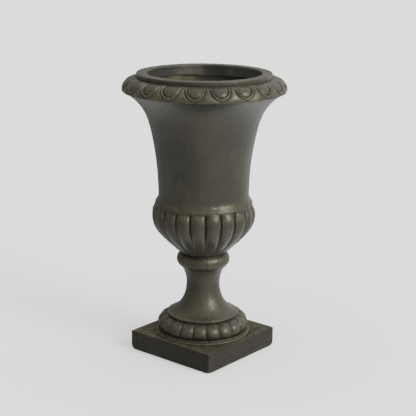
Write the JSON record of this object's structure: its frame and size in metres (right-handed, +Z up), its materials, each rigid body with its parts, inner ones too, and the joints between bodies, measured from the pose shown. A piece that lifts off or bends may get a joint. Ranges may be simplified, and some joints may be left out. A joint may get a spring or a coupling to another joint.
{
  "type": "urn planter",
  "caption": "Tall pedestal urn planter with an egg-and-dart rim, a gadrooned cup and foot, a square plinth and an open planting bowl with a drain plug.",
  "frame": {"origin": "on the floor, under the middle of the square plinth", "axes": "+Z up along the urn's axis; the plinth's sides lie along X and Y; the front seam is at the corner +X -Y"},
  "size_m": [0.455, 0.455, 0.8],
  "materials": {
    "urn_body": "satin antique bronze-black over fibre clay",
    "urn_band": "matt dark paint",
    "raw_laminate": "rough unpainted fibre",
    "plug_rubber": "matt"
  },
  "bodies": {
    "urn": {"right_shell": "urn_body", "left_shell": "urn_body", "rim_band": "urn_band", "bowl_seam_strip_front": "raw_laminate", "bowl_seam_strip_back": "raw_laminate", "pedestal_seam_strip_front": "raw_laminate", "pedestal_seam_strip_back": "raw_laminate", "bowl_floor": "raw_laminate", "base_plate": "raw_laminate"},
    "plug": {"drain_plug": "plug_rubber"}
  },
  "joints": [
    {"name": "drain_plug_lift", "type": "slide", "parent": "urn", "child": "plug", "axis": [0, 0, 1], "range_m": [0, 0.5]}
  ]
}
